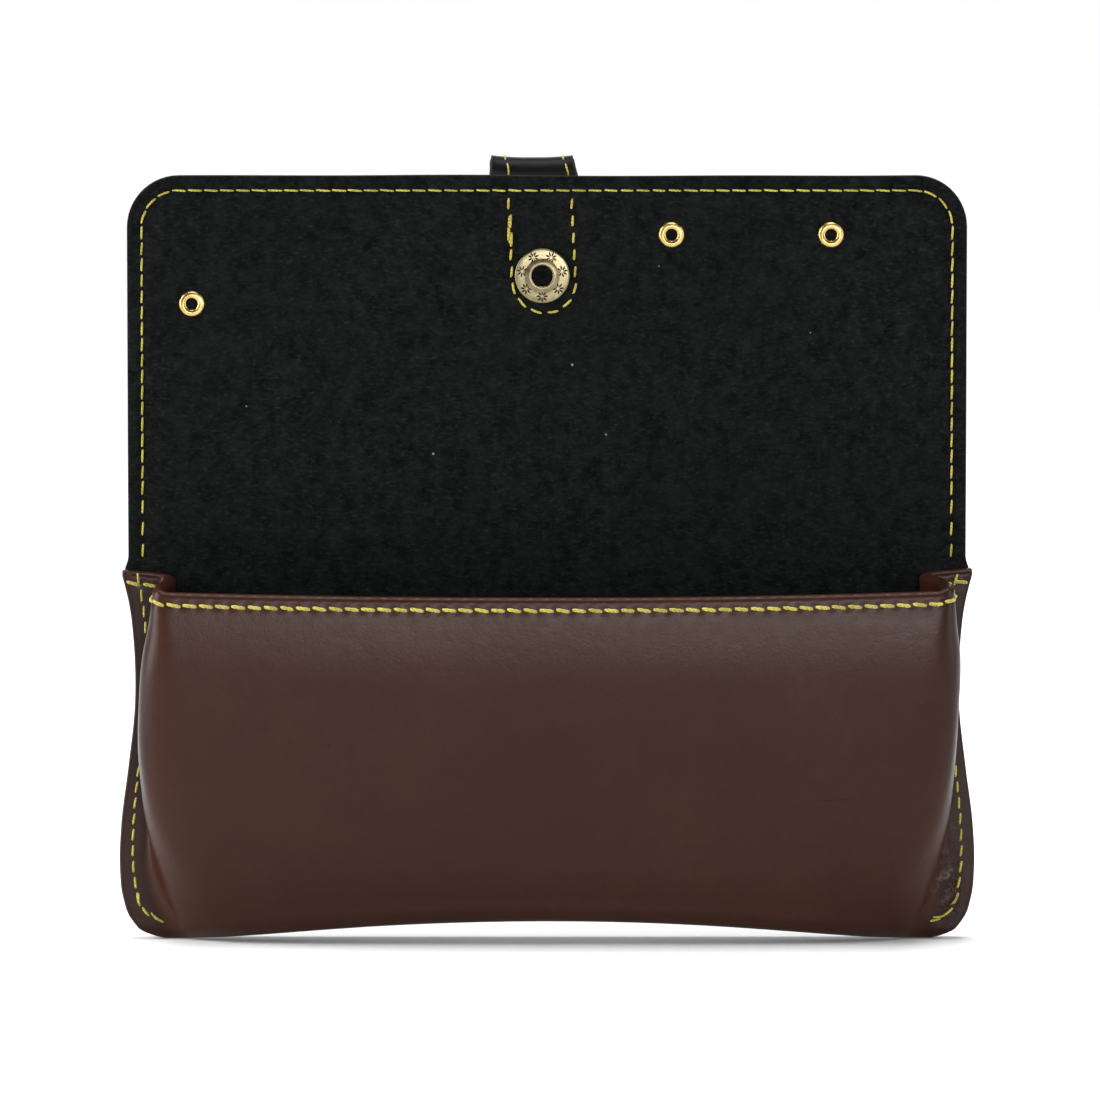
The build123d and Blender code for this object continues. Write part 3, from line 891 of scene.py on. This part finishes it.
for side, node in ((-1, "side_thread_left"), (1, "side_thread_right")):
    path = side_seam(side)
    near, far = path + (0, BACK - WING + 0.1, 0), path + (0, BACK - 0.08, 0)
    tack = near[:22] + (0, -0.25, 0.35)
    seam = joined("seam_" + node, [
        straight_seam(node + "_in", near, FORWARD, THICK_THREAD, 2.5, 0.12, 41 + side),
        straight_seam(node + "_out", far, BACKWARD, THREAD, 2.4, 0.0, 43 + side),
        straight_seam(node + "_tack", tack, FORWARD, THREAD, 2.3, 0.3, 45),
    ])
    made_of(seam, node, "pocket")

# ---------------------------------------------------------------- strap
STRAP_TOP_HALF = 7.6
STRAP_LEAN = 1.9 / 22  # to the left, for each millimetre up
SEAM_LEAN = 1.05 / 22
STRAP_SEAM = 6.0
SEAM_TOP = FLAP_TOP - 3.4
KNOTS = ((-0.22, 137.2), (0.22, 138.4))  # how far each lies beside the seam, and the height of its top


def strap_path(inward):
    """The strap's line from its sewn end, over the turn, to its free end, with its arc length."""
    radius = TURN_OUTER - inward
    up = np.linspace(STRAP_LOW, TURN[2], 34)[:-1]
    angle = np.linspace(0, math.pi, 17)
    y = np.concatenate([BACK + inward + 0 * up, TURN[1] - radius * np.cos(angle), TIP_FAR - inward + 0 * up])
    z = np.concatenate([up, TURN[2] + radius * np.sin(angle), up[::-1]])
    return y, z, arc_length(np.stack([y, z], -1))


def strap_grid(inward):
    """Outer face of one of the strap's layers. Both ends are round, and it narrows over the turn."""
    y, z, gone = strap_path(inward)
    s = np.concatenate([
        STRAP_HALF * (1 - np.cos(np.linspace(0.12, math.pi / 2, 12))),
        np.linspace(STRAP_HALF, gone[-1] - STRAP_HALF, 60)[1:-1],
        gone[-1] - STRAP_HALF * (1 - np.cos(np.linspace(math.pi / 2, 0.12, 12))),
    ])
    y, z = np.interp(s, gone, y), np.interp(s, gone, z)
    end = np.clip(np.minimum(s, gone[-1] - s) / STRAP_HALF, 0, 1)
    half = STRAP_HALF * np.sqrt(1 - (1 - end) ** 2)
    over = ease((z - (FLAP_TOP - 4)) / 7.5)
    half = half - (STRAP_HALF - STRAP_TOP_HALF) * over
    u = np.sin(np.linspace(-1, 1, 25) * math.pi / 2)
    x = STRAP_X + half[:, None] * u - ((z - SNAP[2]) * STRAP_LEAN)[:, None]
    lift = 0.40 * over[:, None] * (np.abs(u) ** 2.5 - 1)
    curl = 0.25 * over[:, None] * np.abs(u) ** 4
    return np.stack([x, y[:, None] - curl, z[:, None] + lift + 0 * x], -1)


backing = shell("strap_backing", strap_grid(0.0)[:, ::-1], BACKING, black, edge=raw_edge)
inner_layer = strap_grid(BACKING + 0.02)[:, ::-1]
strap = shell("strap_leather", inner_layer, STRAP_WALL - BACKING, brown, edge=raw_edge)
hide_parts("strap_base_backing", "strap_fold_backing", "strap_tip_backing")
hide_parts("strap_base_leather", "strap_fold_leather", "strap_tip_leather")
for piece, slot in ((backing, "black_leather"), (strap, "brown_leather")):
    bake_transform(piece)


def seam_lean(z):
    """How far the strap's seam leans to the left at this height."""
    return (z - SNAP[2]) * SEAM_LEAN - 0.25 + 0.9 * ease((z - TURN[2]) / 4.5)


def u_path(y):
    """The strap's U-shaped seam at depth y."""
    half, low_z = STRAP_SEAM, STRAP_LOW + 2.3
    turn = np.linspace(0, math.pi, 30)[1:-1]
    rise = np.linspace(low_z + half, SEAM_TOP, 20)
    x = np.concatenate([-half + 0 * rise, -half * np.cos(turn), half + 0 * rise])
    z = np.concatenate([rise[::-1], low_z + half - half * np.sin(turn), rise])
    return np.stack([STRAP_X + x - seam_lean(z), y + 0 * x, z], -1)


def u_seam(name, y, direction, radius, slant, seed):
    """The U-shaped seam's stitches at depth y."""
    return straight_seam(name, u_path(y), direction, radius, 2.4, slant, seed)


knots = []
for shift, top in KNOTS:
    z = np.linspace(131.5, top, 12)
    knot = np.stack([STRAP_X - STRAP_SEAM - seam_lean(z) + shift, FELT_FACE - 0.1 + 0 * z, z], -1)
    knots.append(straight_seam(f"knot_{top:.0f}", knot, FORWARD, 0.26, 2.6, 0.12, 9))
seam = joined("seam_strap", [
    u_seam("strap_in", FELT_FACE + 0.1, FORWARD, THICK_THREAD, 0.12, 51),
    u_seam("strap_out", BACK + STRAP_WALL, BACKWARD, THREAD, 0.0, 52),
    *knots,
])
made_of(seam, "strap_seam_thread", "flap")


def turn_seam(side):
    """The seam that runs on over the strap's turn, and which way it faces."""
    angle = np.linspace(-0.2, math.pi - 0.15, 60)
    z = TURN[2] + TURN_OUTER * np.sin(angle)
    half = STRAP_SEAM - 0.5 * ease((z - FLAP_TOP + 3) / 6)
    x = STRAP_X + side * half - seam_lean(z)
    path = np.stack([x, TURN[1] - TURN_OUTER * np.cos(angle), z - 0.26], -1)
    return path, np.stack([0 * x, -np.cos(angle), np.sin(angle)], -1)


over = []
for side in (-1, 1):
    path, out = turn_seam(side)
    over.append(stitches(f"turn_{side + 1}", path, out, yellow, 0.17, 2.9, 0.05, 60 + side))
turn_thread = joined("seam_turn", over)
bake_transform(turn_thread)
seam = joined("seam_tip", [
    u_seam("tip_out", TIP_FAR - 0.05, BACKWARD, THREAD, 0.1, 53),
    u_seam("tip_in", TIP_FAR - STRAP_WALL, FORWARD, THREAD, 0.0, 54),
])
made_of(seam, "strap_tip_thread", "strap")

# ---------------------------------------------------------------- metal
FLANGE = (high("snap_eyelet")[0] - low("snap_eyelet")[0]) / 2
BORE = 1.95
STARS, STAR_RING, STAR_SIZE = 7, 3.85, 1.12


def span(node):
    """A node's front and back, measured from BACK."""
    return low(node)[1] - BACK, high(node)[1] - BACK


def turned(name, node, centre, body, profile, material, radius=0.12, segments=72):
    """A turned part that stands in for this node. radius rounds its profile's corners."""
    made_of(lathe(name, centre, rounded(profile, radius), material, segments), node, body)


def star(centre, y, size, turn, rays=8):
    """A stamped star: thin tapering rays round a point, facing the front."""
    points, faces = [], []
    for k in range(rays):
        a = turn + 2 * math.pi * k / rays
        along_ray = np.array([math.cos(a), 0, math.sin(a)])
        across = np.array([-math.sin(a), 0, math.cos(a)])
        base = len(points)
        for reach, half, deep in ((0.24, 0.06, 0), (0.62, 0.17, 0), (1.0, 0.05, 0)):
            for s in (-1, 1):
                point = centre + along_ray * size * reach + across * size * half * s
                points.append(point + (0, y - deep, 0))
        for s in points[base:base + 6]:
            points.append(s + np.array([0, 0.06, 0]))
        for i in (0, 2):
            faces += [(base + i, base + i + 1, base + i + 3, base + i + 2)]
            faces += [(base + i + 6, base + i + 8, base + i + 9, base + i + 7)]
            faces += [(base + i, base + i + 2, base + i + 8, base + i + 6)]
            faces += [(base + i + 1, base + i + 7, base + i + 9, base + i + 3)]
        faces += [(base, base + 6, base + 7, base + 1), (base + 4, base + 5, base + 11, base + 10)]
    return points, faces


front, back = span("snap_eyelet")
turned("eyelet", "snap_eyelet", SNAP, "flap", [
    (BORE, front + 1.0), (BORE, front + 0.35), (BORE + 0.12, front + 0.04), (BORE + 0.40, front - 0.04),
    (BORE + 0.85, front + 0.06), (BORE + 1.35, front + 0.22), (FLANGE - 0.9, front + 0.25),
    (FLANGE - 0.2, front + 0.32), (FLANGE, front + 0.45), (FLANGE - 0.15, front + 0.72),
    (BORE + 0.40, front + 0.75), (BORE + 0.35, back), (BORE, back),
], antique, segments=96)
star_points, star_faces = [], []
for k in range(STARS):
    a = -math.pi / 2 + 2 * math.pi * k / STARS
    centre = np.array([SNAP[0] + STAR_RING * math.cos(a), 0, SNAP[2] + STAR_RING * math.sin(a)])
    points, faces = star(centre, BACK + front + 0.20, STAR_SIZE, a)
    star_faces += [tuple(i + len(star_points) for i in f) for f in faces]
    star_points += points
stars = mesh_object("eyelet_stars", star_points, star_faces, patina)
fix_normals(stars)
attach(stars, "flap")

front, back = span("snap_stud")
turned("stud", "snap_stud", SNAP, "flap", [
    (BORE + 0.36, front), (4.2, front), (4.2, front + 0.45), (2.75, front + 0.6), (2.45, front + 1.1),
    (2.75, back - 0.55), (2.6, back), (BORE + 0.36, back),
], antique, 0.15)
front, back = span("snap_socket")
turned("socket", "snap_socket", SNAP, "strap", [
    (3.05, front), (4.3, front), (4.95, front + 0.5), (5.0, back - 0.9), (4.6, back), (3.3, back),
    (3.05, back - 0.6),
], antique, 0.2)
front, back = span("snap_cap")
turned("cap", "snap_cap", SNAP, "strap", [
    (0, back - 0.02), (2.6, back - 0.1), (4.6, back - 0.42), (5.45, back - 0.85), (5.6, back - 1.0),
    (5.45, back - 1.1), (1.2, back - 1.1), (1.2, front), (0, front),
], antique, segments=96)

front, back = span("rivet_tube_1")
crown = span("rivet_cap_1")[1]
for k in (1, 2, 3):
    node = f"rivet_tube_{k}"
    turned(f"tube_{k}", node, middle(node), "flap", [
        (0.95, back), (0.95, front + 0.9), (1.15, front + 0.25), (1.65, front), (2.2, front + 0.12),
        (2.5, front + 0.5), (2.35, front + 0.62), (1.35, front + 0.6), (1.3, back),
    ], brass)
    node = f"rivet_cap_{k}"
    turned(f"head_{k}", node, middle(node), "flap", [
        (0, crown), (1.6, crown - 0.06), (2.6, crown - 0.3), (3.0, crown - 0.62), (2.9, 0.02), (0, 0.02),
    ], brass)


def magnet_disc():
    """The closing magnet, a thin disc that follows the front panel between its leather and its felt."""
    radius, thick, segments = 5.0, 0.55, 48
    rim = [(radius - 0.1, 0), (radius, 0.1), (radius, thick - 0.1), (radius - 0.1, thick)]
    points, faces = [], []
    for r, back in [(0.01, 0), *rim, (0.01, thick)]:
        for a in np.linspace(0, 2 * math.pi, segments, endpoint=False):
            z = MAGNET[2] + r * math.sin(a)
            y = BACK - along(DEPTH, z) - CROWN + LEATHER + 0.2
            points.append((MAGNET[0] + r * math.cos(a), y + back, z))
    for i in range(len(rim) + 1):
        faces += band_faces(i * segments, (i + 1) * segments, segments)
    made = mesh_object("closing_magnet", points, faces, steel)
    fix_normals(made, weld=5e-5)
    return made


made_of(magnet_disc(), "magnet", "pocket")
spring = bpy.data.objects["snap_spring"].data
spring.materials.clear()
spring.materials.append(steel)


# ---------------------------------------------------------------- floor, light and camera
def linked(name, data, place=(0, 0, 0)):
    """A light or the camera, put in the scene at this place."""
    made = bpy.data.objects.new(name, data)
    made.location = place
    bpy.context.scene.collection.objects.link(made)
    return made


def aim(thing, target):
    thing.rotation_euler = (Vector(target) - Vector(thing.location)).to_track_quat("-Z", "Y").to_euler()


def pale_floor(size=20000.0):
    graph = Graph("pale_floor", Roughness=0.75, Specular_IOR_Level=0.2, Emission_Strength=0.03)
    graph.shader.inputs["Emission Color"].default_value = (1, 1, 1, 1)
    material = graph.paint(graph.mix(graph.noise(3.0, 3), (0.80, 0.80, 0.80), (0.83, 0.83, 0.83)))
    corners = [(-size, -size, 0), (size, -size, 0), (size, size, 0), (-size, size, 0)]
    return mesh_object("floor", corners, [(0, 1, 2, 3)], material)


def softbox(name, place, height_of_target, width, height, power):
    data = bpy.data.lights.new(name, "AREA")
    data.shape, data.size, data.size_y, data.energy = "RECTANGLE", width, height, power
    aim(linked(name, data, place), (0, 0, height_of_target))


pale_floor()
softbox("left_box", (-0.75, -0.10, 0.30), 0.06, 0.5, 0.7, 11.5)
softbox("right_box", (0.74, -0.16, 0.30), 0.06, 0.5, 0.7, 3.9)
softbox("front_box", (0.3, -2.2, 0.32), 0.07, 1.2, 0.30, 27.0)
softbox("rear_box", (0.0, 0.9, 0.6), 0.07, 0.8, 0.5, 3.0)

sun = bpy.data.lights.new("overhead", "SUN")
sun.energy, sun.angle = 3.5, math.radians(40)
linked("overhead", sun)

world = bpy.data.worlds.new("studio")
bpy.context.scene.world = world
world.use_nodes = True
sky = world.node_tree.nodes["Background"]
sky.inputs["Color"].default_value = (1, 1, 1, 1)
sky.inputs["Strength"].default_value = 0.14

TARGET = (0.00057, 0.0061, 0.0742)
DISTANCE, VIEW_WIDTH, SENSOR = 1.6, 0.209, 36
ELEVATION = math.radians(5)
camera_data = bpy.data.cameras.new("camera")
camera_data.sensor_width = SENSOR
camera_data.lens = SENSOR * DISTANCE / VIEW_WIDTH
offset = np.array([0, -math.cos(ELEVATION), math.sin(ELEVATION)]) * DISTANCE
camera = linked("camera", camera_data, (TARGET + offset).tolist())
aim(camera, TARGET)
bpy.context.scene.camera = camera
bpy.context.scene.view_settings.view_transform = "Standard"
